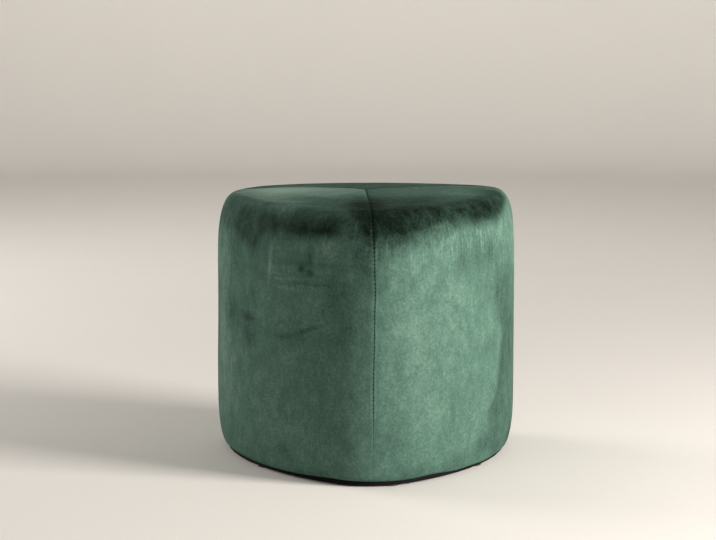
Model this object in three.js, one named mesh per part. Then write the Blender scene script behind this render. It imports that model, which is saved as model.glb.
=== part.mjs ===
// A three-sided upholstered pouf: a firm filled body in a sewn velvet cover, on a low
// black board with glides. Millimetres, +Z up. The origin is on the floor, at the middle
// of the pouf's bounding box, and one rounded corner points to -Y.

import * as THREE from 'three';

// Driving dimensions of the cover
const SIDES = 3;
const CORNER_REACH = 136;      // from the pouf's upright axis to each corner arc's centre
const CORNER_RADIUS = 107;     // of the cover at mid height, seen from above
const SIDE_BULGE = 27;         // how far a side's middle swells past the straight line
const TOP_HEIGHT = 399;        // middle of the crowned top above the floor
const TOP_CROWN = 8;           // how far the top's middle stands above its edge
const TOP_EDGE_DEPTH = 98;     // height of the rounded top edge
const TOP_EDGE_INSET = 34;     // how far the rounded top edge comes in
const TOP_EDGE_POWER = 2.6;    // 2 is an ellipse, and more is squarer
const UNDERSIDE_HEIGHT = 9.4;  // folded lower edge above the floor
const LOWER_EDGE_DEPTH = 67;   // height over which the sides draw in to the lower edge
const LOWER_EDGE_INSET = 10.5; // how far they draw in
const LOWER_EDGE_POWER = 2.05;

// Seam channels: one on each corner, from the lower edge to the middle of the top
const CHANNEL_DEPTH = 1.8;
const CHANNEL_HALF_WIDTH = 5;

// Base board and glides
const BOARD_SETBACK = 13;      // board's edge behind the cover's widest line, at a corner
const BOARD_BULGE = 26;        // a touch flatter than the cover's sides
const BOARD_THICKNESS = 6.9;
const BOARD_EDGE_ROUND = 1;
const GAP = 0.3;               // between pieces that touch
const GLIDE_RADIUS = 15;
const GLIDE_EDGE_ROUND = 0.6;
const GLIDE_MARGIN = 1;        // from a glide's rim to the board's edge
const GLIDE_TURN = 18;         // degrees round a corner from its seam to its glide

// Fineness of the faceted surfaces
const SIDE_STEPS = 10;         // along each bulged side
const CORNER_STEPS = 7;        // from a side's end to the seam channel
const TOP_EDGE_ROWS = 8;
const LOWER_EDGE_ROWS = 6;
const CROWN_ROWS = 6;
const GLIDE_STEPS = 28;

const THIRD = (2 * Math.PI) / SIDES;
const FRONT = -Math.PI / 2;    // direction of the front corner

// A rounded polygon with bulged sides, as a function of the direction that its edge faces.
// Each corner is an arc about a point at CORNER_REACH, and each side is a flatter arc that
// meets the corner arcs smoothly.
function makeOutline(reach, radius, bulge) {
  const halfSide = reach * Math.sin(THIRD / 2);
  const sideArcRadius = (halfSide ** 2 + bulge ** 2) / (2 * bulge);
  const sideSweep = Math.asin(halfSide / sideArcRadius);
  const sideArcOffset = sideArcRadius - bulge - reach * Math.cos(THIRD / 2);
  const cornerSweep = THIRD / 2 - sideSweep;

  function pointFacing(angle) {
    const fromCorner = angle - FRONT;
    const corner = Math.round(fromCorner / THIRD) * THIRD + FRONT;
    if (Math.abs(angle - corner) <= cornerSweep) {
      return new THREE.Vector2(
        reach * Math.cos(corner) + radius * Math.cos(angle),
        reach * Math.sin(corner) + radius * Math.sin(angle),
      );
    }
    const side = (Math.floor(fromCorner / THIRD) + 0.5) * THIRD + FRONT;
    return new THREE.Vector2(
      -sideArcOffset * Math.cos(side) + (sideArcRadius + radius) * Math.cos(angle),
      -sideArcOffset * Math.sin(side) + (sideArcRadius + radius) * Math.sin(angle),
    );
  }
  return { pointFacing, cornerSweep, radius };
}

const coverOutline = makeOutline(CORNER_REACH, CORNER_RADIUS, SIDE_BULGE);
const boardOutline = makeOutline(CORNER_REACH, CORNER_RADIUS - BOARD_SETBACK, BOARD_BULGE);

// The upright axis stands behind the origin, because a triangle's corner reaches further
// from its middle than its side does.
const frontReach = CORNER_REACH + CORNER_RADIUS;
const backReach = CORNER_REACH * Math.cos(THIRD / 2) + CORNER_RADIUS + SIDE_BULGE;
const AXIS_Y = (frontReach - backReach) / 2;

// The directions at which the outline is sampled: close together at each seam channel,
// even round the rest of the corner, and even along the sides. Each entry also says how
// deep the channel is there, from 0 to 1.
function makeColumns(outline, withChannels) {
  const columns = [];
  const channelSweep = CHANNEL_HALF_WIDTH / outline.radius;
  const channelShape = [
    { across: 0.22, channel: 0.62 },
    { across: 0.55, channel: 0.2 },
    { across: 1, channel: 0 },
  ];
  for (let k = 0; k < SIDES; k++) {
    const seam = FRONT + k * THIRD;
    columns.push({ angle: seam, channel: 1 });
    if (withChannels) {
      for (const { across, channel } of channelShape) {
        columns.push({ angle: seam + across * channelSweep, channel });
      }
    }
    const start = withChannels ? channelSweep : 0;
    for (let i = 1; i <= CORNER_STEPS; i++) {
      const t = i / CORNER_STEPS;
      columns.push({ angle: seam + start + t * (outline.cornerSweep - start), channel: 0 });
    }
    const sideSweep = THIRD - 2 * outline.cornerSweep;
    for (let i = 1; i < SIDE_STEPS; i++) {
      const angle = seam + outline.cornerSweep + (i / SIDE_STEPS) * sideSweep;
      columns.push({ angle, channel: 0 });
    }
    for (let i = CORNER_STEPS; i >= 1; i--) {
      const t = i / CORNER_STEPS;
      const angle = seam + THIRD - start - t * (outline.cornerSweep - start);
      columns.push({ angle, channel: 0 });
    }
    if (withChannels) {
      for (const { across, channel } of channelShape.slice(0, 2).reverse()) {
        columns.push({ angle: seam + THIRD - across * channelSweep, channel });
      }
    }
  }
  return columns;
}

// A closed body from rings. Each row gives its height, how far the outline is pulled in
// along its own normals, how far the pulled-in ring is then shrunk towards the axis, and
// how deep the seam channels are. The ends close on the axis.
function makeBody(outline, columns, rows, lowEnd, highEnd) {
  const positions = [];
  const indices = [];
  positions.push(0, AXIS_Y, lowEnd);
  for (const row of rows) {
    for (const column of columns) {
      const p = outline.pointFacing(column.angle);
      const inset = row.inset + row.channelAcross * column.channel;
      const x = (p.x - inset * Math.cos(column.angle)) * row.shrink;
      const y = (p.y - inset * Math.sin(column.angle)) * row.shrink;
      positions.push(x, y + AXIS_Y, row.height - row.channelDown * column.channel);
    }
  }
  positions.push(0, AXIS_Y, highEnd);
  const n = columns.length;
  const top = positions.length / 3 - 1;
  const at = (row, column) => 1 + row * n + (column % n);
  for (let c = 0; c < n; c++) {
    indices.push(0, at(0, c + 1), at(0, c));
    for (let r = 0; r < rows.length - 1; r++) {
      indices.push(at(r, c), at(r, c + 1), at(r + 1, c + 1));
      indices.push(at(r, c), at(r + 1, c + 1), at(r + 1, c));
    }
    indices.push(at(rows.length - 1, c), at(rows.length - 1, c + 1), top);
  }
  const geometry = new THREE.BufferGeometry();
  geometry.setAttribute('position', new THREE.Float32BufferAttribute(positions, 3));
  geometry.setIndex(indices);
  geometry.computeVertexNormals();
  return geometry;
}

// A quarter of a superellipse: across falls from 1 to 0 while up rises from 0 to 1.
function roundedEdge(turn, power) {
  return {
    across: Math.cos(turn) ** (2 / power),
    up: Math.sin(turn) ** (2 / power),
  };
}

// The filled body. From the flat underside the sides swell out over LOWER_EDGE_DEPTH, run
// upright, turn in over the rounded top edge, and rise to the crown.
function makeVelvetBody() {
  const rows = [];
  for (const shrink of [0.45, 0.9]) {
    rows.push({
      height: UNDERSIDE_HEIGHT, inset: LOWER_EDGE_INSET, shrink, channelAcross: 0, channelDown: 0,
    });
  }
  for (let i = 0; i <= LOWER_EDGE_ROWS; i++) {
    const turn = (1 - i / LOWER_EDGE_ROWS) * (Math.PI / 2);
    const edge = roundedEdge(turn, LOWER_EDGE_POWER);
    rows.push({
      height: UNDERSIDE_HEIGHT + LOWER_EDGE_DEPTH * (1 - edge.up),
      inset: LOWER_EDGE_INSET * (1 - edge.across),
      shrink: 1,
      channelAcross: i === 0 ? 0 : CHANNEL_DEPTH,
      channelDown: 0,
    });
  }
  const crownEdge = TOP_HEIGHT - TOP_CROWN;
  for (let i = 0; i <= TOP_EDGE_ROWS; i++) {
    const turn = (i / TOP_EDGE_ROWS) * (Math.PI / 2);
    const edge = roundedEdge(turn, TOP_EDGE_POWER);
    rows.push({
      height: crownEdge - TOP_EDGE_DEPTH * (1 - edge.up),
      inset: TOP_EDGE_INSET * (1 - edge.across),
      shrink: 1,
      channelAcross: CHANNEL_DEPTH * Math.cos(turn),
      channelDown: CHANNEL_DEPTH * Math.sin(turn),
    });
  }
  for (let i = 1; i < CROWN_ROWS; i++) {
    const shrink = 1 - i / CROWN_ROWS;
    rows.push({
      height: crownEdge + TOP_CROWN * (1 - shrink ** 2),
      inset: TOP_EDGE_INSET,
      shrink,
      channelAcross: 0,
      channelDown: CHANNEL_DEPTH,
    });
  }
  const columns = makeColumns(coverOutline, true);
  const middle = TOP_HEIGHT - CHANNEL_DEPTH;
  return makeBody(coverOutline, columns, rows, UNDERSIDE_HEIGHT, middle);
}

// The black board that closes the underside, a little inside the folded edge, with its
// arrises eased.
function makeBaseBoard() {
  const high = UNDERSIDE_HEIGHT - GAP;
  const low = high - BOARD_THICKNESS;
  const ring = (height, inset) => ({ height, inset, shrink: 1, channelAcross: 0, channelDown: 0 });
  const rows = [
    ring(low, BOARD_EDGE_ROUND),
    ring(low + BOARD_EDGE_ROUND, 0),
    ring(high - BOARD_EDGE_ROUND, 0),
    ring(high, BOARD_EDGE_ROUND),
  ];
  return makeBody(boardOutline, makeColumns(boardOutline, false), rows, low, high);
}

// A glide: a flat black disc with its lower edge eased, from the floor to the board.
function makeGlide() {
  const top = UNDERSIDE_HEIGHT - BOARD_THICKNESS - 2 * GAP;
  const rimStart = GLIDE_RADIUS - GLIDE_EDGE_ROUND;
  const eased = GLIDE_EDGE_ROUND * Math.SQRT1_2;
  const profile = [
    new THREE.Vector2(0, 0),
    new THREE.Vector2(rimStart, 0),
    new THREE.Vector2(rimStart + eased, GLIDE_EDGE_ROUND - eased),
    new THREE.Vector2(GLIDE_RADIUS, GLIDE_EDGE_ROUND),
    new THREE.Vector2(GLIDE_RADIUS, top),
    new THREE.Vector2(0, top),
  ];
  const geometry = new THREE.LatheGeometry(profile, GLIDE_STEPS);
  geometry.rotateX(Math.PI / 2);
  return geometry;
}

const velvet = new THREE.MeshStandardMaterial({ color: 0x2f5a47, roughness: 0.9, metalness: 0 });
const blackCloth = new THREE.MeshStandardMaterial({ color: 0x101010, roughness: 0.95, metalness: 0 });
const blackPlastic = new THREE.MeshStandardMaterial({ color: 0x1a1a1a, roughness: 0.5, metalness: 0 });

const pouf = new THREE.Group();

const velvetBody = new THREE.Mesh(makeVelvetBody(), velvet);
velvetBody.name = 'velvet_body';
pouf.add(velvetBody);

const baseBoard = new THREE.Mesh(makeBaseBoard(), blackCloth);
baseBoard.name = 'base_board';
pouf.add(baseBoard);

// Glides stand near each corner and under the middle of each side, in turn.
const glideGeometry = makeGlide();
for (let i = 0; i < 2 * SIDES; i++) {
  const nearCorner = i % 2 === 0;
  const turn = nearCorner ? THREE.MathUtils.degToRad(GLIDE_TURN) : 0;
  const angle = FRONT + (i * THIRD) / 2 + turn;
  const edge = boardOutline.pointFacing(angle);
  const inset = GLIDE_RADIUS + GLIDE_MARGIN;
  const glide = new THREE.Mesh(glideGeometry, blackPlastic);
  glide.name = `glide_${i + 1}`;
  glide.position.x = edge.x - inset * Math.cos(angle);
  glide.position.y = edge.y - inset * Math.sin(angle) + AXIS_Y;
  pouf.add(glide);
}

export default pouf;
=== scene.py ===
import math

import bpy
import numpy as np
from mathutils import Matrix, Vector


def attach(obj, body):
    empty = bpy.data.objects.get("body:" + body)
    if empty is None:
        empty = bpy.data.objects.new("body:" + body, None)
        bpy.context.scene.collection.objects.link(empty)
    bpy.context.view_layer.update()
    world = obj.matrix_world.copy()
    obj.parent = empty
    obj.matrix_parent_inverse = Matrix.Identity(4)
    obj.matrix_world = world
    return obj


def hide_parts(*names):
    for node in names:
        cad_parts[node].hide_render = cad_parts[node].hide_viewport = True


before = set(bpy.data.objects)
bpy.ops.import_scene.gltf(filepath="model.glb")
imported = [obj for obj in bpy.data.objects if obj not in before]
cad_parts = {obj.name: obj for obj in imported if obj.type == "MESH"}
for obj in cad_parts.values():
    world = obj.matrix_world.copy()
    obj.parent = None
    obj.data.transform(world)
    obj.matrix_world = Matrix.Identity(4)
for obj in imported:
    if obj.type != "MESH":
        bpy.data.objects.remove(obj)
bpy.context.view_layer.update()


# ---------------------------------------------------------------- velvet body: its shape
# A firm foam block in a cover of green velvet, cut in three panels and sewn edge to edge. The
# seams climb the rounded corners, cross the top edge and meet in the middle of the top. The
# lower edge is drawn in, folded under and fixed to the board.
quarter, third = math.pi / 2, 2 * math.pi / 3
front = -math.pi / 2            # the direction of the front corner
corner_reach = 0.136            # from the upright axis to each corner arc's centre
corner_radius = 0.107
side_bulge = 0.027              # how far a side's middle swells past the straight line
top_height = 0.399
top_crown = 0.008
top_edge_depth, top_edge_inset, top_edge_power = 0.098, 0.034, 2.6
underside_height = 0.0094
lower_edge_depth, lower_edge_inset, lower_edge_power = 0.067, 0.0105, 2.05
straight_side = top_height - top_crown - top_edge_depth - lower_edge_depth - underside_height

half_side = corner_reach * math.sin(third / 2)
side_arc = (half_side**2 + side_bulge**2) / (2 * side_bulge)
side_sweep = math.asin(half_side / side_arc)
side_offset = side_arc - side_bulge - corner_reach * math.cos(third / 2)
corner_sweep = third / 2 - side_sweep
corner_run = corner_radius * corner_sweep
panel_run = 2 * corner_run + (side_arc + corner_radius) * 2 * side_sweep
girth = 3 * panel_run
axis_y = (corner_reach - corner_reach * math.cos(third / 2) - side_bulge) / 2


def facing_at(around):
    """The direction that the outline faces at a distance around it from the front seam, counted
    towards +X. It turns at 1 / corner_radius on a corner and at 1 / (side_arc + corner_radius)
    on a side."""
    seams = np.arange(-3, 5)    # enough of them for every distance around that is asked for
    run = np.stack([seams * panel_run - corner_run, seams * panel_run + corner_run], 1).ravel()
    turn = np.stack([seams * third - corner_sweep, seams * third + corner_sweep], 1).ravel()
    return front + np.interp(around, run, turn)


def outline(facing):
    """A rounded triangle with bulged sides. On a corner of direction c it is corner_reach * c +
    corner_radius * facing, and on a side of direction s it is (side_arc + corner_radius) * facing
    - side_offset * s."""
    corner = np.round((facing - front) / third) * third + front
    side = (np.floor((facing - front) / third) + 0.5) * third + front
    on_corner = np.abs(facing - corner) <= corner_sweep
    centre = np.where(on_corner, corner_reach, -side_offset)
    about = np.where(on_corner, corner, side)
    arc = corner_radius + np.where(on_corner, 0, side_arc)
    x = centre * np.cos(about) + arc * np.cos(facing)
    y = centre * np.sin(about) + arc * np.sin(facing)
    return x, y


def even_turns(inset, depth, power, step):
    """Turns from 0 to a right angle, evenly spaced along a quarter of the superellipse
    (inset * cos^(2/power), depth * sin^(2/power))."""
    samples = 600
    turn = np.linspace(0, quarter, samples)
    x, z = inset * np.cos(turn) ** (2 / power), depth * np.sin(turn) ** (2 / power)
    run = np.r_[0, np.cumsum(np.hypot(np.diff(x), np.diff(z)))]
    return np.interp(np.linspace(0, run[-1], round(run[-1] / step) + 1), run, turn)


lower_turn, upper_turn, shrink = 0, 2, 3        # where a row has its two turns and its shrink
on_crown = 1.57                 # the top edge's turn is more than this on the crown alone


def profile_rows(step, underside_step):
    """Rows from the middle of the underside to the middle of the top, a step apart. Each is
    (turn of the lower edge, rise up the side, turn of the top edge, shrink towards the axis)."""
    reach = corner_reach + corner_radius
    under = np.linspace(0, 1, round(reach / underside_step) + 1)[1:-1]
    lower = even_turns(lower_edge_inset, lower_edge_depth, lower_edge_power, step)[::-1]
    rise = np.linspace(0, 1, round(straight_side / step) + 1)[1:]
    upper = even_turns(top_edge_inset, top_edge_depth, top_edge_power, step)[1:]
    crown = np.linspace(1, 0, round((reach - top_edge_inset) / step) + 1)[1:-1]
    parts = [(quarter, 0, 0, under), (lower, 0, 0, 1), (0, rise, 0, 1),
             (0, 1, upper, 1), (0, 1, quarter, crown)]
    return np.concatenate([np.stack(np.broadcast_arrays(*part), 1) for part in parts])


def soft_oval(across, up, half_long, half_wide, tilt, strength):
    """A soft oval spot: strength * exp(-(u^2 + v^2)), with u and v the distances along and across
    its long axis, each over its half size. The long axis is tilted up by the tilt, in degrees."""
    c, s = math.cos(math.radians(tilt)), math.sin(math.radians(tilt))
    u, v = (across * c + up * s) / half_long, (up * c - across * s) / half_wide
    return strength * np.exp(-u * u - v * v)


def spots(around, height, marks):
    """The sum of soft ovals on the side, each (around, height, half length, half width, tilt in
    degrees, strength). Around wraps at the girth."""
    return sum(soft_oval((around - at + girth / 2) % girth - girth / 2, height - level, *oval)
               for at, level, *oval in marks)


# Where the hand-cut foam and cover differ from the pattern: (around, height, half length, half
# width, tilt, strength), in metres. The first list moves the side out, the second the lower edge
# up, the third makes the top edge squarer, and the fourth moves it up.
side_swells = [
    (-0.415, 0.117, 0.080, 0.070, 0, 0.0014),
    (0.408, 0.202, 0.090, 0.200, 0, -0.0009),
    (0.408, 0.368, 0.070, 0.018, 0, 0.0012),
    (0.408, 0.317, 0.070, 0.020, 0, -0.0007),
]
hem_rises = [
    (-0.200, 0.022, 0.065, 0.040, 0, -0.0013),
    (-0.130, 0.022, 0.060, 0.040, 0, -0.0010),
    (-0.070, 0.022, 0.025, 0.040, 0, 0.0009),
    (0.010, 0.022, 0.060, 0.040, 0, -0.0008),
    (0.062, 0.022, 0.034, 0.040, 0, -0.0009),
    (0.120, 0.022, 0.050, 0.040, 0, 0.0007),
    (0.250, 0.022, 0.080, 0.040, 0, -0.0009),
    (0.234, 0.022, 0.040, 0.040, 0, -0.0016),
    (0.155, 0.022, 0.032, 0.040, 0, -0.0024),
]
edge_squareness = [
    (0.408, 0.390, 0.110, 1.0, 0, 0.22),
]
edge_rises = [
    (-0.435, 0.390, 0.090, 1.0, 0, -0.0024),
    (0.395, 0.390, 0.080, 1.0, 0, 0.0018),
]
rim_height = 0.390              # where the lists for the top edge are read
swells_end = 1.2                # the sides' swells stop at this turn of the top edge
meeting_shift = -0.0035         # how far the three seams meet to one side of the axis


def cover_surface(around, rows):
    """The cover without its seams, as rows x columns x 3. Height is the sum of the lower edge's,
    the side's and the top edge's rises and the crown's top_crown * (1 - shrink^2); the outline is
    pulled in along its normals by the two edges' insets and then shrunk towards the axis."""
    around = np.atleast_2d(around)
    facing = facing_at(around)
    lower, rise, upper, shrunk = (rows[:, i, None] for i in range(4))
    power = top_edge_power + spots(around, rim_height, edge_squareness)
    lift = spots(around, rim_height, edge_rises)
    up_lower = np.sin(lower) ** (2 / lower_edge_power)
    across_lower = np.clip(np.cos(lower), 0, 1) ** (2 / lower_edge_power)
    up_upper = np.clip(np.sin(upper), 0, 1) ** (2 / power)
    across_upper = np.clip(np.cos(upper), 0, 1) ** (2 / power)
    height = (underside_height + lower_edge_depth * (1 - up_lower) + straight_side * rise
              + (top_edge_depth + lift) * up_upper
              + np.where(upper > on_crown, (top_crown - lift) * (1 - shrunk**2), 0))
    inset = lower_edge_inset * (1 - across_lower) + top_edge_inset * (1 - across_upper)
    inset = inset - spots(around, height, side_swells) * (upper < swells_end)
    height = height + spots(around, height, hem_rises) * (shrunk >= 1)
    x, y = outline(facing)
    inward = np.where(upper > on_crown, 1 - shrunk, 0)
    x = (x - inset * np.cos(facing)) * shrunk + meeting_shift * inward
    y = (y - inset * np.sin(facing)) * shrunk + axis_y
    return np.stack([x, y, height + 0 * x], -1)


def close_grid(points, low, high):
    """Vertices, quads and triangles of a closed body from rings of points: quads between the
    rings, and a fan of triangles from each end ring to its point."""
    count, columns = points.shape[:2]
    vertices = np.vstack([points.reshape(-1, 3), low, high])
    ring = np.arange(columns)
    following = np.roll(ring, -1)
    start = np.arange(count - 1)[:, None] * columns
    quads = np.stack([start + ring, start + following,
                      start + columns + following, start + columns + ring], -1).reshape(-1, 4)
    last = (count - 1) * columns
    bottom = np.stack([following, ring, np.full(columns, count * columns)], 1)
    top = np.stack([last + ring, last + following, np.full(columns, count * columns + 1)], 1)
    return vertices, quads, np.vstack([bottom, top])


def mesh_object(name, vertices, quads, triangles):
    """A smooth-shaded mesh object at the origin from whole arrays of vertices and faces."""
    mesh = bpy.data.meshes.new(name)
    mesh.vertices.add(len(vertices))
    mesh.vertices.foreach_set("co", np.asarray(vertices, np.float32).ravel())
    mesh.loops.add(quads.size + triangles.size)
    mesh.loops.foreach_set("vertex_index", np.r_[quads.ravel(), triangles.ravel()].astype(np.int32))
    starts = np.r_[np.arange(len(quads)) * 4, quads.size + np.arange(len(triangles)) * 3]
    mesh.polygons.add(len(starts))
    mesh.polygons.foreach_set("loop_start", starts.astype(np.int32))
    mesh.update(calc_edges=True)
    mesh.validate()
    mesh.shade_smooth()
    piece = bpy.data.objects.new(name, mesh)
    bpy.context.scene.collection.objects.link(piece)
    return piece


underside_middle = [0, axis_y, underside_height]


def run_up(points, column):
    """Distance up a column of the grid, starting from the middle of the underside."""
    line = np.vstack([underside_middle, points[:, column]])
    return np.cumsum(np.linalg.norm(np.diff(line, axis=0), axis=1))


# The filling pushes the cover out between the seams, which are held by the board and by the pull
# of the seam allowances: a coarse cloth of the same grid, blown up a little.
fill_pressure, fill_frames = 4.0, 20
most_move = 0.0032
board_hold = 1.2                # the cover is fixed to the board beyond this turn of its lower edge
middle_hold = 0.12              # and where the seams meet, as a share of the way to the edge
firm_top = 0.9                  # how much less the foam's flat top is pushed out than its sides
cloth_columns = 3 * 38
cloth_around = np.arange(cloth_columns) * girth / cloth_columns
cloth_step, cloth_underside_step = 0.011, 0.030
cloth_rows = profile_rows(cloth_step, cloth_underside_step)
cloth_points = cover_surface(cloth_around, cloth_rows)
cloth_way = run_up(cloth_points, cloth_columns // 6)


def fill_cover():
    """How far each point of the coarse grid moves when the cover is filled, as rows x columns x
    3. A move of length m is capped at most_move * tanh(m / most_move)."""
    top_middle = [meeting_shift, axis_y, top_height]
    cloth = mesh_object("cover_cloth", *close_grid(cloth_points, underside_middle, top_middle))
    held = np.zeros(cloth_points.shape[:2], bool)
    held[:, ::cloth_columns // 3] = True
    held[cloth_rows[:, lower_turn] > board_hold] = True
    held[(cloth_rows[:, upper_turn] > on_crown) & (cloth_rows[:, shrink] < middle_hold)] = True
    pins = np.flatnonzero(np.r_[held.ravel(), True, True]).tolist()
    group = cloth.vertex_groups.new(name="held")
    group.add(pins, 1.0, "REPLACE")
    modifier = cloth.modifiers.new("Cloth", "CLOTH")
    settings = modifier.settings
    settings.quality = 6
    settings.mass = 0.35
    settings.tension_stiffness = settings.compression_stiffness = 14
    settings.shear_stiffness = 5
    settings.bending_stiffness = 1.5
    settings.use_pressure = True
    settings.uniform_pressure_force = fill_pressure
    settings.vertex_group_mass = "held"
    settings.effector_weights.gravity = 0
    modifier.collision_settings.use_collision = False
    scene = bpy.context.scene
    for number in range(1, fill_frames + 1):
        scene.frame_set(number)
    filled = cloth.evaluated_get(bpy.context.evaluated_depsgraph_get()).to_mesh()
    co = np.empty(len(filled.vertices) * 3)
    filled.vertices.foreach_get("co", co)
    move = co.reshape(-1, 3)[:-2].reshape(cloth_points.shape) - cloth_points
    scene.frame_set(1)
    bpy.data.objects.remove(cloth)
    length = np.linalg.norm(move, axis=-1, keepdims=True)
    capped = move * most_move * np.tanh(length / most_move) / np.maximum(length, 1e-9)
    return capped * (1 - firm_top * np.sin(cloth_rows[:, upper_turn])[:, None, None] ** 4)


def resample(field, row_at, column_at):
    """The coarse grid's field at fractional rows and columns, by cubic (Catmull-Rom) weights on
    the four nearest each way. Columns go round; rows stop at the ends."""
    def weights(t):
        """The shares of the four at a way t from the second to the third: (-t + 2 t^2 - t^3) / 2
        and so on."""
        return np.stack([-t + 2 * t**2 - t**3, 2 - 5 * t**2 + 3 * t**3,
                         t + 4 * t**2 - 3 * t**3, t**3 - t**2]) / 2

    row, column = np.floor(row_at).astype(int), np.floor(column_at).astype(int)
    by_row, by_column = weights(row_at - row), weights(column_at - column)
    count, columns = field.shape[:2]
    total = 0
    for i in range(4):
        near_row = np.clip(row + i - 1, 0, count - 1)
        for j in range(4):
            share = by_row[i][:, None, None] * by_column[j][None, :, None]
            total = total + share * field[near_row][:, (column + j - 1) % columns]
    return total


# The finished cover: columns close together at each seam and even between them
seam_spacing = np.array([0, 0.3, 0.6, 1.0, 1.4, 1.9, 2.5, 3.2, 4.0, 5.0, 6.2, 7.6]) / 1000
fine_step, fine_underside_step = 0.0038, 0.016
between = np.linspace(seam_spacing[-1], panel_run - seam_spacing[-1],
                      round((panel_run - 2 * seam_spacing[-1]) / fine_step) + 1)
one_panel = np.r_[seam_spacing, between[1:-1], panel_run - seam_spacing[:0:-1]]
around = np.concatenate([one_panel + k * panel_run for k in range(3)])
signed_around = (around + girth / 2) % girth - girth / 2
rows = profile_rows(fine_step, fine_underside_step)

# The front seam was not sewn dead straight: it wanders by up to 3 mm
wander_reach = 0.030            # how far to its sides the cover follows it
wander_level = np.array([0.0, 0.160, 0.202, 0.247, 0.279, 0.302, 0.347, 0.372, 0.390])
wander_by = np.array([0.0, 0.0, 0.0011, 0.0015, 0.0026, 0.0017, 0.0009, -0.0011, -0.0027])
seam_height = cover_surface(around[:1], rows)[:, :1, 2]
near_front = np.exp(-(signed_around / wander_reach) ** 4)
wander = np.interp(seam_height, wander_level, wander_by) * near_front
points = cover_surface(around + wander, rows)
way = run_up(points, len(one_panel) // 2)

row_at = np.interp(way / way[-1], cloth_way / cloth_way[-1], np.arange(len(cloth_rows)))
points = points + resample(fill_cover(), row_at, around / girth * cloth_columns)


def grid_normals(grid):
    """Outward unit normals: the cross product of the differences along the rows and columns."""
    along = np.roll(grid, -1, 1) - np.roll(grid, 1, 1)
    up = np.gradient(grid, axis=0)
    normal = np.cross(along, up)
    return normal / np.maximum(np.linalg.norm(normal, axis=-1, keepdims=True), 1e-12)


def ramp_up(value, low, high):
    """A smooth step from 0 at low to 1 at high: t * t * (3 - 2 t)."""
    t = np.clip((value - low) / (high - low), 0, 1)
    return t * t * (3 - 2 * t)


# Each seam is two rolled edges that meet in a groove. It is a fine line up the corner, and a
# wider valley from just under the top edge to the middle, where the cover is pulled tight. It is
# shallower on the flat of the top and low on the corner.
groove_half_width, groove_depth = 0.0019, 0.0008
valley_half_width, valley_depth = 0.0044, 0.0018
valley_start, valley_full = 0.327, 0.364
lost_on_top, lost_low = 0.591, 0.6              # shares of its depth that it loses there
flat_top_full = 0.5                             # as a share of the way in from the rim
low_corner_full, low_corner_end = 0.062, 0.102          # heights
groove_end = 1.5                                # at this turn of the lower edge
dimple_depth, dimple_radius = 0.0008, 0.010     # where the three seams meet

on_crown_row = rows[:, upper_turn, None] > on_crown
facing = facing_at(around)
nearest_seam = np.round((facing - front) / third) * third + front
way_in = np.where(on_crown_row, 1 - rows[:, shrink, None], 0)
shift = way_in * meeting_shift
from_axis = points[..., :2] - [0, axis_y]
off_seam = (from_axis[..., 1] * np.cos(nearest_seam)
            - (from_axis[..., 0] - shift) * np.sin(nearest_seam))
off_seam = off_seam - off_seam[:, :1] * near_front
height = points[..., 2]
toward_valley = ramp_up(height, valley_start, valley_full)
half_width = groove_half_width + (valley_half_width - groove_half_width) * toward_valley
depth = groove_depth + (valley_depth - groove_depth) * toward_valley
flat_top = ramp_up(way_in, 0, flat_top_full)
low_corner = 1 - ramp_up(height, low_corner_full, low_corner_end)
depth = depth * (1 - lost_on_top * flat_top) * (1 - lost_low * low_corner)
inside = np.clip(1 - np.abs(off_seam) / half_width, 0, 1)
groove = depth * (1 - np.sqrt(1 - inside**2)) * (rows[:, lower_turn, None] < groove_end)
normals = grid_normals(points)
off_middle = np.hypot(from_axis[..., 0] - meeting_shift, from_axis[..., 1])
dimple = dimple_depth * np.exp(-((off_middle / dimple_radius) ** 2)) * on_crown_row
points = points - normals * (groove + dimple)[..., None]

middle_drop = 0.0002            # of the very middle of the top, where the seams meet
top_middle = [meeting_shift, axis_y, points[-1, :, 2].min() - middle_drop]
velvet_body = mesh_object("velvet_cover", *close_grid(points, underside_middle, top_middle))
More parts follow.
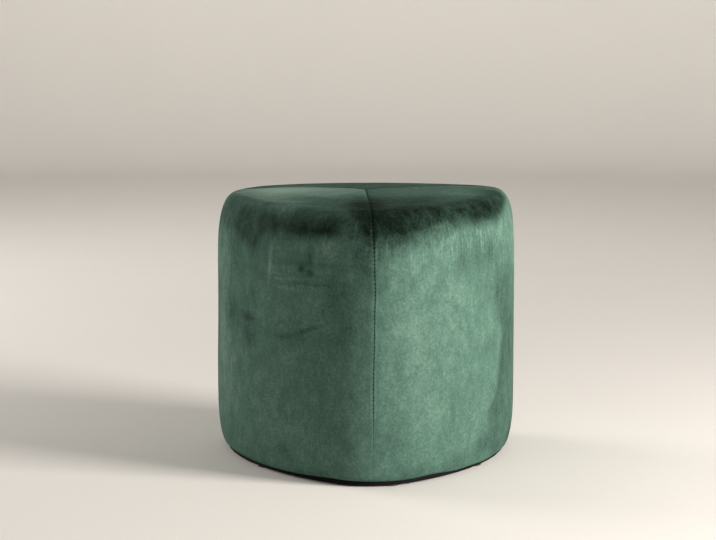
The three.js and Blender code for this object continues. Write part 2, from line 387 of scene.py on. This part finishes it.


# ---------------------------------------------------------------- velvet body: its finish
# Short-pile velvet. It is dark where the pile is brushed towards the eye and light where it
# lies away, so hands leave soft marks on it. The light that the pile's tips catch at the limbs and
# on the top is painted into the colour as painted sheen, and painted shade darkens the top edge,
# the seams and the front corner.

# Marks on the sides, of hands and brush, and painted sheen and shade where noted below:
# (around, height, half length, half width, tilt, strength), in metres; less than 0 is darker.
side_marks = [
    # creases of the left front panel, drawn as painted light and shade with no fold in the shape: a
    # fold line under the top edge, an upright streak, faint level creases and a slanting one
    (-0.080, 0.3820, 0.040, 0.0030, 3, 0.12),
    (-0.085, 0.3865, 0.042, 0.0020, 3, -0.10),
    (-0.178, 0.304, 0.034, 0.0026, 85, 0.22),
    (-0.100, 0.315, 0.050, 0.0026, 1, -0.09),
    (-0.110, 0.296, 0.045, 0.0026, 2, -0.10),
    (-0.112, 0.2850, 0.046, 0.0028, 2, -0.20),
    (-0.120, 0.2795, 0.042, 0.0024, 3, 0.07),
    (-0.105, 0.2190, 0.026, 0.0030, 20, -0.24),
    (-0.145, 0.2070, 0.030, 0.0030, 2, -0.16),
    # finger marks on it
    (-0.1125, 0.3066, 0.0052, 0.0050, 0, -0.37),
    (-0.0970, 0.3022, 0.0058, 0.0044, 0, -0.37),
    (-0.098, 0.3240, 0.006, 0.012, 0, -0.15),
    # its upper part
    (-0.070, 0.335, 0.016, 0.018, 0, 0.12),
    (-0.180, 0.343, 0.016, 0.012, 0, -0.09),
    (-0.205, 0.322, 0.020, 0.018, 0, -0.08),
    (-0.225, 0.326, 0.045, 0.014, 0, -0.04),
    (-0.245, 0.292, 0.022, 0.060, 0, -0.06),
    (-0.275, 0.306, 0.020, 0.026, 0, -0.06),
    (-0.300, 0.335, 0.030, 0.020, 0, -0.05),
    (-0.350, 0.375, 0.050, 0.014, 0, -0.08),
    (-0.400, 0.352, 0.030, 0.012, 0, -0.12),
    # its middle, with darker spots towards the left limb
    (-0.085, 0.250, 0.024, 0.040, 0, 0.05),
    (-0.115, 0.210, 0.060, 0.018, 0, -0.07),
    (-0.212, 0.143, 0.022, 0.016, 0, 0.07),
    (-0.222, 0.262, 0.016, 0.030, 0, -0.06),
    (-0.225, 0.218, 0.014, 0.012, 0, -0.08),
    (-0.238, 0.2235, 0.022, 0.0062, -4, -0.26),
    (-0.233, 0.197, 0.019, 0.013, -28, -0.21),
    (-0.275, 0.200, 0.020, 0.014, 0, -0.06),
    (-0.290, 0.224, 0.022, 0.022, 0, -0.17),
    # painted sheen at the left limb, and one darker spot
    (-0.315, 0.280, 0.020, 0.030, 0, 0.08),
    (-0.345, 0.270, 0.030, 0.090, 0, 0.06),
    (-0.390, 0.290, 0.050, 0.040, 0, 0.08),
    (-0.330, 0.190, 0.028, 0.050, 0, 0.10),
    (-0.400, 0.190, 0.030, 0.050, 0, -0.20),
    (-0.320, 0.120, 0.060, 0.060, 0, 0.06),
    (-0.380, 0.110, 0.055, 0.060, 0, 0.08),
    # low on the left front panel
    (-0.090, 0.014, 0.030, 0.010, 0, -0.12),
    (-0.120, 0.050, 0.050, 0.030, 0, 0.04),
    (-0.153, 0.0435, 0.010, 0.009, 0, -0.18),
    (-0.200, 0.075, 0.040, 0.040, 0, 0.03),
    # painted shade on both sides of the front seam, from the top down, with one lighter spot
    (-0.024, 0.335, 0.011, 0.026, 0, -0.13),
    (0.024, 0.338, 0.026, 0.020, 0, -0.12),
    (-0.004, 0.310, 0.016, 0.030, 0, -0.08),
    (-0.014, 0.300, 0.014, 0.030, 0, -0.10),
    (-0.045, 0.285, 0.020, 0.035, 0, -0.14),
    (-0.040, 0.235, 0.024, 0.035, 0, -0.10),
    (0.035, 0.225, 0.022, 0.030, 0, 0.04),
    (-0.020, 0.218, 0.040, 0.030, 0, -0.05),
    (0.035, 0.188, 0.020, 0.020, 0, -0.06),
    (0.0, 0.150, 0.010, 0.150, 0, -0.04),
    (0.030, 0.075, 0.020, 0.030, 0, -0.05),
    (0.030, 0.060, 0.030, 0.026, 0, -0.07),
    # darker marks on the right front panel, under the dark edge
    (0.150, 0.308, 0.030, 0.030, 0, -0.05),
    (0.175, 0.312, 0.030, 0.020, 0, -0.10),
    (0.230, 0.318, 0.045, 0.014, -4, -0.12),
    (0.240, 0.295, 0.020, 0.030, 0, -0.05),
    # its middle
    (0.060, 0.300, 0.040, 0.060, 0, 0.05),
    (0.225, 0.262, 0.020, 0.020, 0, -0.06),
    (0.100, 0.222, 0.050, 0.040, 0, 0.06),
    (0.252, 0.220, 0.012, 0.050, 0, -0.06),
    (0.195, 0.160, 0.050, 0.060, 0, -0.02),
    (0.275, 0.145, 0.014, 0.014, 0, -0.06),
    (0.070, 0.120, 0.025, 0.060, 0, 0.05),
    (0.100, 0.097, 0.016, 0.040, 0, 0.06),
    (0.135, 0.088, 0.006, 0.020, 0, -0.14),
    # painted sheen and shade at the right limb
    (0.380, 0.330, 0.060, 0.040, 0, 0.06),
    (0.340, 0.262, 0.040, 0.018, 0, 0.07),
    (0.350, 0.185, 0.060, 0.028, 0, -0.06),
    (0.385, 0.090, 0.030, 0.040, 0, -0.07),
    (0.300, 0.085, 0.012, 0.030, 0, 0.07),
    # low on the right front panel
    (0.060, 0.032, 0.030, 0.014, 0, -0.07),
    (0.080, 0.014, 0.050, 0.012, 0, -0.14),
    (0.150, 0.030, 0.014, 0.012, 0, -0.10),
    (0.170, 0.018, 0.050, 0.012, 0, -0.10),
    (0.222, 0.050, 0.016, 0.030, 0, -0.12),
    (0.225, 0.034, 0.050, 0.014, 0, -0.12),
    (0.262, 0.022, 0.020, 0.014, 0, -0.12),
    (0.310, 0.020, 0.060, 0.016, 0, -0.20),
    (0.345, 0.030, 0.025, 0.012, 0, -0.08),
    (0.355, 0.035, 0.030, 0.020, 0, -0.10),
    # broad soft marks on the back panel
    (0.560, 0.290, 0.060, 0.050, 20, 0.10),
    (0.640, 0.170, 0.070, 0.050, -15, -0.09),
    (0.690, 0.060, 0.050, 0.030, 0, 0.06),
    (-0.690, 0.300, 0.060, 0.030, 10, -0.07),
    (-0.610, 0.240, 0.040, 0.070, 0, 0.09),
    (-0.540, 0.120, 0.060, 0.040, 10, -0.10),
]
# The same on and round the top, as if the cover lay flat, where the marks are mostly painted
# sheen and shade: (x, y, half length, half width, tilt, strength)
top_marks = [
    # along the left rim: a band of painted sheen, and fine creases drawn as painted light and shade
    (-0.115, -0.147, 0.064, 0.016, -39, 0.20),
    (-0.068, -0.150, 0.055, 0.045, -40, -0.36),
    (-0.056, -0.102, 0.030, 0.022, -40, -0.13),
    (-0.132, -0.058, 0.030, 0.020, -57, 0.11),
    (-0.175, 0.035, 0.035, 0.016, -79, -0.17),
    (-0.188, -0.010, 0.050, 0.022, -60, -0.14),
    (-0.058, -0.171, 0.022, 0.0030, -44, -0.10),
    (-0.070, -0.150, 0.026, 0.0035, -42, 0.08),
    (-0.088, -0.118, 0.030, 0.0040, -36, -0.10),
    (-0.115, -0.088, 0.034, 0.0050, -32, 0.09),
    (-0.135, -0.098, 0.020, 0.0040, -44, -0.08),
    # painted sheen and shade on the left of the flat top
    (-0.090, -0.072, 0.060, 0.030, -20, -0.24),
    (-0.107, 0.030, 0.060, 0.020, -25, 0.12),
    (-0.130, 0.035, 0.050, 0.060, 0, 0.30),
    (-0.150, 0.075, 0.090, 0.050, -30, 0.20),
    (-0.215, 0.110, 0.030, 0.030, 0, -0.14),
    # painted shade and sheen on its right
    (0.060, -0.105, 0.070, 0.040, 40, -0.20),
    (0.065, -0.100, 0.055, 0.030, 42, -0.13),
    (0.120, -0.046, 0.045, 0.030, 45, -0.08),
    (0.175, -0.015, 0.050, 0.060, 0, 0.20),
]
# Painted sheen and shade on the top of the right front, the back and the left front panel
top_sheen_and_shade = np.array([0.0, -0.16, 0.28])

# How far each row is below the top's rim along the cover, less than 0 on the flat top, and each
# point's place on the cover laid flat. The side's marks give way to the top's round the rim.
rim_distance = (way[rows[:, shrink] >= 1][-1] - way)[:, None]
on_top = ramp_up(rim_distance, 0.030, -0.010)
flat_x = points[..., 0] + np.clip(rim_distance, 0, None) * np.cos(facing)
flat_y = points[..., 1] + np.clip(rim_distance, 0, None) * np.sin(facing)
# The colour's tone: the pile's own marks, with painted sheen and shade added to them
pile_and_painted_light = (1 - on_top) * spots(signed_around, height, side_marks)
pile_and_painted_light = pile_and_painted_light + sum(soft_oval(flat_x - x, flat_y - y, *oval) for x, y, *oval in top_marks)
pile_and_painted_light = pile_and_painted_light + on_top * top_sheen_and_shade[(around // panel_run).astype(int)]

# Low on the right the colour is darker beyond a slanting line
shade_dark = 0.19
shade_level = [0.055, 0.085, 0.10, 0.13, 0.19, 0.25]
shade_line = [0.236, 0.226, 0.246, 0.262, 0.276, 0.248]
slant = np.interp(height, shade_level, shade_line)
shade = ramp_up(signed_around, slant - 0.010, slant + 0.010)
shade = shade * ramp_up(height, 0.02, 0.055) * (1 - ramp_up(height, 0.26, 0.31))
shade = shade * (1 - 0.4 * ramp_up(signed_around, 0.31, 0.37)
                 - 0.6 * ramp_up(signed_around, 0.42, 0.465))
pile_and_painted_light = pile_and_painted_light - shade_dark * shade

# Painted highlight on the rolled edges beside a seam, where they catch light up the corner,
# and painted shade in the valley's bottom
lip_painted_highlight, lip_off_seam, lip_half_width, lip_lowest = 0.10, 0.0030, 0.0012, 0.10
valley_painted_shade, shade_half_width = 0.34, 0.0017
lip_highlight = np.exp(-(((np.abs(off_seam) - lip_off_seam) / lip_half_width) ** 2))
pile_and_painted_light = pile_and_painted_light + lip_painted_highlight * lip_highlight * (height > lip_lowest) * (1 - toward_valley)
pile_and_painted_light = pile_and_painted_light - valley_painted_shade * toward_valley * np.exp(-((off_seam / shade_half_width) ** 2))

# Along the top edge, where the surface turns up away from the low light, painted shade darkens
# the colour in a band. At each distance around, the band lies between two lines, given by how far
# they are below the rim along the cover; both lines are softer in some places than in others, and
# it is not equally dark all along. Where the top line is -0.200, the band goes up over the rim.
edge_shade_band = np.array([  # around, top line, its softness, foot line, its softness, darkness
    (-0.702, -0.200, 0.030, 0.040, 0.024, 0.10),
    (-0.560, -0.200, 0.030, 0.048, 0.022, 0.20),
    (-0.490, -0.200, 0.030, 0.034, 0.020, -0.30),
    (-0.450, 0.030, 0.020, 0.034, 0.030, -0.90),
    (-0.400, 0.030, 0.020, 0.034, 0.030, -0.60),
    (-0.350, 0.030, 0.030, 0.044, 0.030, -0.35),
    (-0.280, 0.033, 0.030, 0.050, 0.030, -0.15),
    (-0.220, 0.030, 0.030, 0.072, 0.030, -0.12),
    (-0.190, 0.033, 0.026, 0.046, 0.030, -0.06),
    (-0.157, 0.036, 0.030, 0.048, 0.030, 0.06),
    (-0.120, 0.032, 0.045, 0.0530, 0.015, 0.26),
    (-0.100, 0.0320, 0.028, 0.0515, 0.018, 0.32),
    (-0.075, 0.030, 0.039, 0.049, 0.0125, 0.40),
    (-0.045, 0.020, 0.030, 0.046, 0.020, -0.12),
    (-0.020, -0.200, 0.030, 0.050, 0.014, -0.12),
    (-0.001, -0.200, 0.030, 0.050, 0.020, -0.20),
    (0.001, -0.200, 0.030, 0.056, 0.034, 0.45),
    (0.050, -0.200, 0.030, 0.054, 0.034, 0.40),
    (0.080, -0.200, 0.030, 0.049, 0.034, 0.38),
    (0.108, -0.200, 0.030, 0.045, 0.029, 0.40),
    (0.140, -0.200, 0.030, 0.039, 0.023, 0.35),
    (0.172, -0.200, 0.030, 0.038, 0.020, 0.35),
    (0.214, -0.200, 0.030, 0.040, 0.018, 0.35),
    (0.262, -0.200, 0.030, 0.045, 0.017, 0.35),
    (0.325, -0.200, 0.030, 0.032, 0.014, 0.35),
    (0.350, -0.200, 0.030, 0.024, 0.014, 0.25),
    (0.400, -0.200, 0.030, 0.018, 0.014, -0.90),
    (0.480, -0.200, 0.030, 0.030, 0.020, -0.50),
    (0.600, -0.200, 0.030, 0.044, 0.024, 0.15),
    (0.702, -0.200, 0.030, 0.040, 0.024, 0.10),
])
# Darker and lighter dabs in the painted shade band: (around, height, half length, half width, tilt,
# strength)
dabs = [
    (-0.262, 0.366, 0.020, 0.016, 0, 0.12),
    (-0.200, 0.372, 0.040, 0.008, 4, 0.06),
    (-0.008, 0.372, 0.012, 0.018, 0, 0.50),
    (0.030, 0.379, 0.024, 0.009, -6, 0.50),
    (0.065, 0.371, 0.014, 0.007, 0, 0.20),
    (0.120, 0.366, 0.016, 0.007, 10, -0.20),
    (0.165, 0.373, 0.012, 0.007, 0, -0.30),
    (0.240, 0.384, 0.040, 0.010, 0, 0.25),
]
no_edge_shade, full_edge_shade = -1.5, 0.7
# over_softness is the softness of the painted shade band's end on the top
over_softness = 0.052           # of the stroke's end on the top

band_top, top_soft, band_foot, foot_soft, most = (
    np.interp(signed_around, edge_shade_band[:, 0], edge_shade_band[:, i]) for i in range(1, 6))
painted_edge_shade = np.minimum((band_foot - rim_distance) / foot_soft,
                     (rim_distance - band_top) / top_soft)
# it runs over the rim in front, and ends just under it on the sides
over_rim = 0.022 - 0.024 * ramp_up(np.abs(signed_around), 0.06, 0.17)
painted_edge_shade = np.minimum(np.minimum(painted_edge_shade, most), (rim_distance + over_rim) / over_softness)
# and a tongue of it reaches along the front seam onto the top
tongue = soft_oval(flat_x + 0.006, flat_y + 0.180, 0.130, 0.046, 90, 1.5) - 0.95
painted_edge_shade = np.clip(np.maximum(painted_edge_shade, tongue), no_edge_shade, full_edge_shade)
painted_edge_shade = painted_edge_shade + spots(signed_around, height, dabs) * (1 - on_top)

# Upright brush streaks, a few everywhere and most in three places; and fine level ones
few_streaks = 0.08
streak_places = [
    (0.390, 0.242, 0.070, 0.160, 0, 1.05),       # the right limb
    (0.150, 0.342, 0.200, 0.022, 0, 0.7),        # under the dark edge
    (-0.330, 0.282, 0.090, 0.130, 0, 0.4),       # the left limb
]
level_places = [(-0.120, 0.294, 0.070, 0.026, 0, 1.0)]
streaky = (few_streaks + spots(signed_around, height, streak_places)) * (1 - on_top)
level_lines = spots(signed_around, height, level_places)

# Low on the corner the painted shade of the seam's fold and holes hardly shows, so the cover
# counts as further from the seam there
hidden_low = 0.0009 * (1 - ramp_up(height, 0.085, 0.115))
seam_way = np.repeat(run_up(points, 0)[:, None], len(around), 1)


def store(name, values, at_ends):
    """Keeps one number for each grid point of the cover as an attribute, with a value for the
    two end points."""
    attribute = velvet_body.data.attributes.new(name, "FLOAT", "POINT")
    attribute.data.foreach_set("value", np.r_[values.ravel(), at_ends, at_ends].astype(np.float32))


store("pile_and_painted_light", pile_and_painted_light, -0.2)
store("painted_edge_shade", painted_edge_shade, -1)
store("streaky", streaky, 0)
store("level_lines", level_lines, 0)
store("off_seam", np.abs(off_seam) + hidden_low, 0)
store("along_seam", seam_way, 0)


def set_inputs(tree, node, inputs):
    """Sets a node's inputs to numbers, or links them from other nodes' sockets."""
    for name, value in inputs.items():
        if isinstance(value, bpy.types.NodeSocket):
            tree.links.new(value, node.inputs[name])
        else:
            node.inputs[name].default_value = value


def add_node(tree, kind, inputs, **settings):
    """A node with its settings and inputs."""
    node = tree.nodes.new(kind)
    for name, value in settings.items():
        setattr(node, name, value)
    set_inputs(tree, node, inputs)
    return node


def new_material(name):
    """An empty node material, its tree, its Principled shader, and its object coordinates."""
    material = bpy.data.materials.new(name)
    material.use_nodes = True
    tree = material.node_tree
    shader = tree.nodes["Principled BSDF"]
    place = add_node(tree, "ShaderNodeTexCoord", {}).outputs["Object"]
    return material, tree, shader, place


def noise(tree, place, scale, detail, roughness=0.5, stretch=(1, 1, 1)):
    """Noise from 0 to 1, with features drawn out along the axes whose stretch is less than 1."""
    turned = add_node(tree, "ShaderNodeMapping", {"Vector": place, "Scale": stretch})
    return add_node(tree, "ShaderNodeTexNoise", {
        "Vector": turned.outputs["Vector"], "Scale": scale, "Detail": detail,
        "Roughness": roughness}).outputs["Fac"]


def work_out(tree, operation, first, second):
    """One step of arithmetic, such as SUBTRACT for first - second."""
    return add_node(tree, "ShaderNodeMath", {0: first, 1: second}, operation=operation).outputs[0]


def add_up(tree, tone, *parts):
    """tone plus the sum of weight * value over the parts, each a pair (value, weight)."""
    for value, weight in parts:
        tone = add_node(tree, "ShaderNodeMath", {0: value, 1: weight, 2: tone},
                        operation="MULTIPLY_ADD").outputs[0]
    return tone


def fade(tree, value, low, high, at_low, at_high, curve="LINEAR"):
    """What goes from at_low to at_high while the value goes from low to high, and no further."""
    return add_node(tree, "ShaderNodeMapRange", {
        "Value": value, "From Min": low, "From Max": high, "To Min": at_low, "To Max": at_high},
        interpolation_type=curve).outputs["Result"]


def color_at(tree, tone, *stops):
    """The colour of a tone, mixed evenly between stops, each (tone, (red, green, blue))."""
    ramp = add_node(tree, "ShaderNodeValToRGB", {"Fac": tone})
    elements = ramp.color_ramp.elements
    for element, (position, color) in zip(elements, (stops[0], stops[-1])):
        element.position, element.color = position, (*color, 1)
    for position, color in stops[1:-1]:
        elements.new(position).color = (*color, 1)
    return ramp.outputs["Color"]


def bumps(tree, height, strength, distance):
    """The normal of a surface that stands out by height * distance, times the strength."""
    return add_node(tree, "ShaderNodeBump", {
        "Height": height, "Strength": strength, "Distance": distance}).outputs["Normal"]


velvet, tree, shader, place = new_material("green_velvet")
stored = {name: add_node(tree, "ShaderNodeAttribute", {}, attribute_name=name).outputs["Fac"]
          for name in ("pile_and_painted_light", "painted_edge_shade", "streaky", "level_lines", "off_seam", "along_seam")}
clouds = noise(tree, place, 16.0, 5.0, 0.62)
patches = noise(tree, place, 60.0, 4.0, 0.65, stretch=(1, 1, 0.7))
grain = noise(tree, place, 270.0, 3.0, 0.75)
upright = noise(tree, place, 260.0, 3.0, 0.6, stretch=(1, 1, 0.14))
across = noise(tree, place, 200.0, 2.0, stretch=(0.08, 0.08, 1))
tone = add_up(tree, stored["pile_and_painted_light"], (clouds, 0.22), (patches, 0.16), (grain, 0.35), (1.0, 0.135))
upright_part = work_out(tree, "SUBTRACT", upright, 0.5)
level_part = work_out(tree, "MULTIPLY", work_out(tree, "SUBTRACT", across, 0.5), 0.42)
tone = add_up(tree, tone, (upright_part, stored["streaky"]), (level_part, stored["level_lines"]))
# under the painted shade of the top edge little of the tone is kept, up to a line that the
# noise makes ragged
ragged = add_up(tree, stored["painted_edge_shade"], (upright, -0.22), (patches, -0.3), (clouds, -0.5),
                (grain, -0.2), (1.0, 0.61))
kept = fade(tree, ragged, -0.95, 0.60, 1.0, 0.04, "SMOOTHSTEP")
tone = work_out(tree, "MULTIPLY", tone, kept)
tone = add_up(tree, tone, (patches, 0.20), (grain, 0.19), (1.0, -0.195))
# painted shade in the fold of the seam, and in the needle's holes a stitch apart along it
stitch_pitch = 0.0055
fold_shade = fade(tree, stored["off_seam"], 0.0003, 0.0010, 0.14, 0.0)
from_hole = work_out(tree, "PINGPONG", stored["along_seam"], stitch_pitch / 2)
near_hole = fade(tree, from_hole, 0.0004, 0.0012, 1.0, 0.0)
near_line = fade(tree, stored["off_seam"], 0.0006, 0.0014, 0.26, 0.0)
hole_shade = work_out(tree, "MULTIPLY", near_hole, near_line)
tone = work_out(tree, "SUBTRACT", tone, work_out(tree, "ADD", fold_shade, hole_shade))
# tone 0.5 is the cloth's own green, 0 the darkest lie of the pile and the deepest painted shade,
# 1 and above the lightest, with painted sheen
lightest = 1.5
set_inputs(tree, shader, {
    "Base Color": color_at(tree, work_out(tree, "MULTIPLY", tone, 1 / lightest),
                           (0.0, (0.0028, 0.0074, 0.0042)),
                           (0.5 / lightest, (0.0630, 0.124, 0.0955)),
                           (1 / lightest, (0.206, 0.305, 0.246)),
                           (1.0, (0.310, 0.460, 0.375))),
    "Normal": bumps(tree, grain, 0.35, 0.0006),
    "Roughness": 0.92,
    "Specular IOR Level": 0.04,
    "Sheen Weight": 0.006,
    "Sheen Roughness": 0.42,
    "Sheen Tint": (0.62, 1.0, 0.80, 1)})
velvet_body.data.materials.append(velvet)
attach(velvet_body, "root")
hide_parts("velvet_body")


# ---------------------------------------------------------------- seam stitches
# The three seams are sewn with a lock stitch in green thread. The filling pulls the panels apart
# a little, so each stitch shows as a short bar across the groove, between the needle's holes.
thread_radius, stitch_reach = 0.0002, 0.0009
lowest_stitch, clear_of_middle = 0.020, 0.012
lift_in_middle, lift_at_ends = 0.55, 0.90       # shares of how far the groove's side has risen
bar_rings, ring_points = 5, 6


def stitch_bars(column):
    """Vertices of the bars in one seam: for each, rings about a line that crosses the groove, s
    from -1 to 1, and lifts off its bottom by h times a share that goes with s^2 from
    lift_in_middle to lift_at_ends, where h is how far the groove's side has risen there: depth *
    sqrt(1 - (1 - reach / half width)^2). The last two are the middles of its ends."""
    run = run_up(points, column)
    seam = points[:, column]
    shows = (seam[:, 2] > lowest_stitch) & (rows[:, lower_turn] < groove_end)
    shows &= np.hypot(seam[:, 0] - meeting_shift, seam[:, 1] - axis_y) > clear_of_middle
    first, last = run[shows][0] // stitch_pitch + 1.5, run[shows][-1] / stitch_pitch
    at = np.arange(first, last) * stitch_pitch
    risen = (depth * np.sqrt(1 - (1 - stitch_reach / half_width) ** 2))[:, column]

    def there(values):
        """The rows' values in between, at the stitches."""
        return np.stack([np.interp(at, run, part) for part in values.T], -1)[:, None]

    middle, out, lift = there(seam), there(normals[:, column]), there(risen[:, None])
    across = there(points[:, column + 1] - points[:, column - 1])
    across = across / np.linalg.norm(across, axis=-1, keepdims=True)
    s = np.linspace(-1, 1, bar_rings)[:, None]
    share = lift_in_middle + (lift_at_ends - lift_in_middle) * s**2
    line = middle + across * stitch_reach * s + out * lift * share
    turn = np.arange(ring_points)[:, None] * 2 * math.pi / ring_points
    ring = thread_radius * (np.cos(turn) * out + np.sin(turn) * np.cross(across, out))
    bars = (line[:, :, None] + ring[:, None]).reshape(len(at), -1, 3)
    return np.concatenate([bars, line[:, [0, -1]]], 1)


bars = np.concatenate([stitch_bars(k * len(one_panel)) for k in range(3)])
_, quads, triangles = close_grid(bars[0, :-2].reshape(bar_rings, ring_points, 3), *bars[0, -2:])
start = np.arange(len(bars))[:, None, None] * bars.shape[1]
seam_stitches = mesh_object("seam_stitches", bars.reshape(-1, 3), (start + quads).reshape(-1, 4),
                            (start + triangles).reshape(-1, 3))
thread, tree, shader, place = new_material("green_thread")
fibres = noise(tree, place, 2400.0, 2.0, 0.6)
set_inputs(tree, shader, {
    "Base Color": color_at(tree, fibres, (0, (0.024, 0.058, 0.043)), (1, (0.060, 0.120, 0.092))),
    "Normal": bumps(tree, fibres, 0.4, 0.0001),
    "Roughness": 0.6,
    "Specular IOR Level": 0.3})
seam_stitches.data.materials.append(thread)
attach(seam_stitches, "root")


# ---------------------------------------------------------------- base board
# A plywood board that closes the body from below, with the cover's edge fixed to it. It is
# covered in thin black cloth that is stretched round its edge.
black_cloth, tree, shader, place = new_material("black_base_cloth")
threads = noise(tree, place, 900.0, 2.0)
set_inputs(tree, shader, {
    "Base Color": color_at(tree, threads, (0, (0.002, 0.002, 0.002)), (1, (0.010, 0.010, 0.011))),
    "Normal": bumps(tree, threads, 0.3, 0.0003),
    "Roughness": 0.95,
    "Specular IOR Level": 0.08})


def refinish(name, material):
    """Gives a CAD node one material in place of its own."""
    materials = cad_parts[name].data.materials
    materials.clear()
    materials.append(material)


refinish("base_board", black_cloth)


# ---------------------------------------------------------------- glides
# Six low discs of black moulded plastic that the pouf stands on. They are nailed under the
# board, near its rim.
glide_count = 6
plastic, tree, shader, place = new_material("black_glide_plastic")
scuffs = noise(tree, place, 160.0, 4.0)
set_inputs(tree, shader, {
    "Base Color": color_at(tree, scuffs, (0, (0.020, 0.020, 0.021)), (1, (0.055, 0.055, 0.056))),
    "Roughness": 0.5})
for number in range(1, glide_count + 1):
    refinish(f"glide_{number}", plastic)


# ---------------------------------------------------------------- floor, light and camera
# A plain pale floor that sweeps up all round, in a pale room. A broad low light stands in front
# to the right, a weaker one behind to the left, and a faint one lights the sweep at the back.
floor_reach, sweep_radius, sweep_height, fan_reach = 5.6, 1.2, 1.4, 0.1
flat_rings, sweep_rings, floor_columns = 24, 23, 96


def studio_floor():
    """A round floor that sweeps up into a low wall: a profile of a flat run, a quarter circle and
    a short upright, turned about the upright axis. A fan closes its middle."""
    turn = np.linspace(0, quarter, sweep_rings + 1)[1:]
    flat_reach = floor_reach - sweep_radius
    out = np.r_[np.linspace(fan_reach, flat_reach, flat_rings),
                flat_reach + sweep_radius * np.sin(turn), floor_reach]
    up = np.r_[np.zeros(flat_rings), sweep_radius * (1 - np.cos(turn)), sweep_height]
    angle = np.arange(floor_columns) * 2 * math.pi / floor_columns
    grid = np.stack([out[:, None] * np.cos(angle), out[:, None] * np.sin(angle),
                     up[:, None] + 0 * angle], -1)
    ring = np.arange(floor_columns)
    following = np.roll(ring, -1)
    start = np.arange(len(out) - 1)[:, None] * floor_columns
    quads = np.stack([start + following, start + ring, start + floor_columns + ring,
                      start + floor_columns + following], -1).reshape(-1, 4)
    middle = np.stack([ring, following, np.full(floor_columns, grid[..., 0].size)], 1)
    return np.vstack([grid.reshape(-1, 3), [[0, 0, 0]]]), quads, middle


floor = mesh_object("floor", *studio_floor())
pale, tree, shader, place = new_material("pale_floor")
mottle = noise(tree, place, 3.0, 3.0)
set_inputs(tree, shader, {
    "Base Color": color_at(tree, mottle, (0, (0.84, 0.815, 0.765)), (1, (0.87, 0.845, 0.795))),
    "Roughness": 0.85})
floor.data.materials.append(pale)

world = bpy.data.worlds.new("pale_room")
world.use_nodes = True
tree = world.node_tree
direction = add_node(tree, "ShaderNodeTexCoord", {}).outputs["Generated"]
upward = add_node(tree, "ShaderNodeSeparateXYZ", {0: direction}).outputs["Z"]
set_inputs(tree, tree.nodes["Background"], {
    "Color": color_at(tree, upward, (0, (0.98, 0.95, 0.91)), (0.7, (0.20, 0.19, 0.18))),
    "Strength": 0.92})
bpy.context.scene.world = world

pouf_middle = Vector((0, axis_y, 0.2))
sweep_behind = Vector((0, 5.2, 0.3))


def add_light(name, around_degrees, up_degrees, distance, size, watts, color, aim):
    """A square area light at a direction and distance from the pouf's middle, turned towards its
    aim."""
    light = bpy.data.lights.new(name, "AREA")
    light.size, light.energy, light.color = size, watts, color
    lamp = bpy.data.objects.new(name, light)
    bpy.context.scene.collection.objects.link(lamp)
    turned, raised = math.radians(around_degrees), math.radians(up_degrees)
    out = Vector((math.cos(turned) * math.cos(raised), math.sin(turned) * math.cos(raised),
                  math.sin(raised)))
    lamp.location = pouf_middle + out * distance
    lamp.rotation_euler = (lamp.location - aim).to_track_quat("Z", "Y").to_euler()


add_light("key", -28, 14, 3.2, 1.1, 196, (1.0, 0.945, 0.905), pouf_middle)
add_light("fill", 152, 14, 3.4, 1.6, 66, (1.0, 0.97, 0.94), pouf_middle)
add_light("backdrop", 90, 40, 3.2, 2.2, 13, (1.0, 0.96, 0.92), sweep_behind)

camera = bpy.data.objects.new("camera", bpy.data.cameras.new("camera"))
bpy.context.scene.collection.objects.link(camera)
bpy.context.scene.camera = camera
camera.data.sensor_width = 36
camera.data.lens = 119.3
camera.data.clip_end = 200
camera.location = (-0.1158, -3.4776, 0.7616)
camera_aim = Vector((-0.0143, 0.0205, 0.2775))
camera.rotation_euler = (camera_aim - camera.location).to_track_quat("-Z", "Y").to_euler()
bpy.context.scene.view_settings.view_transform = "Standard"
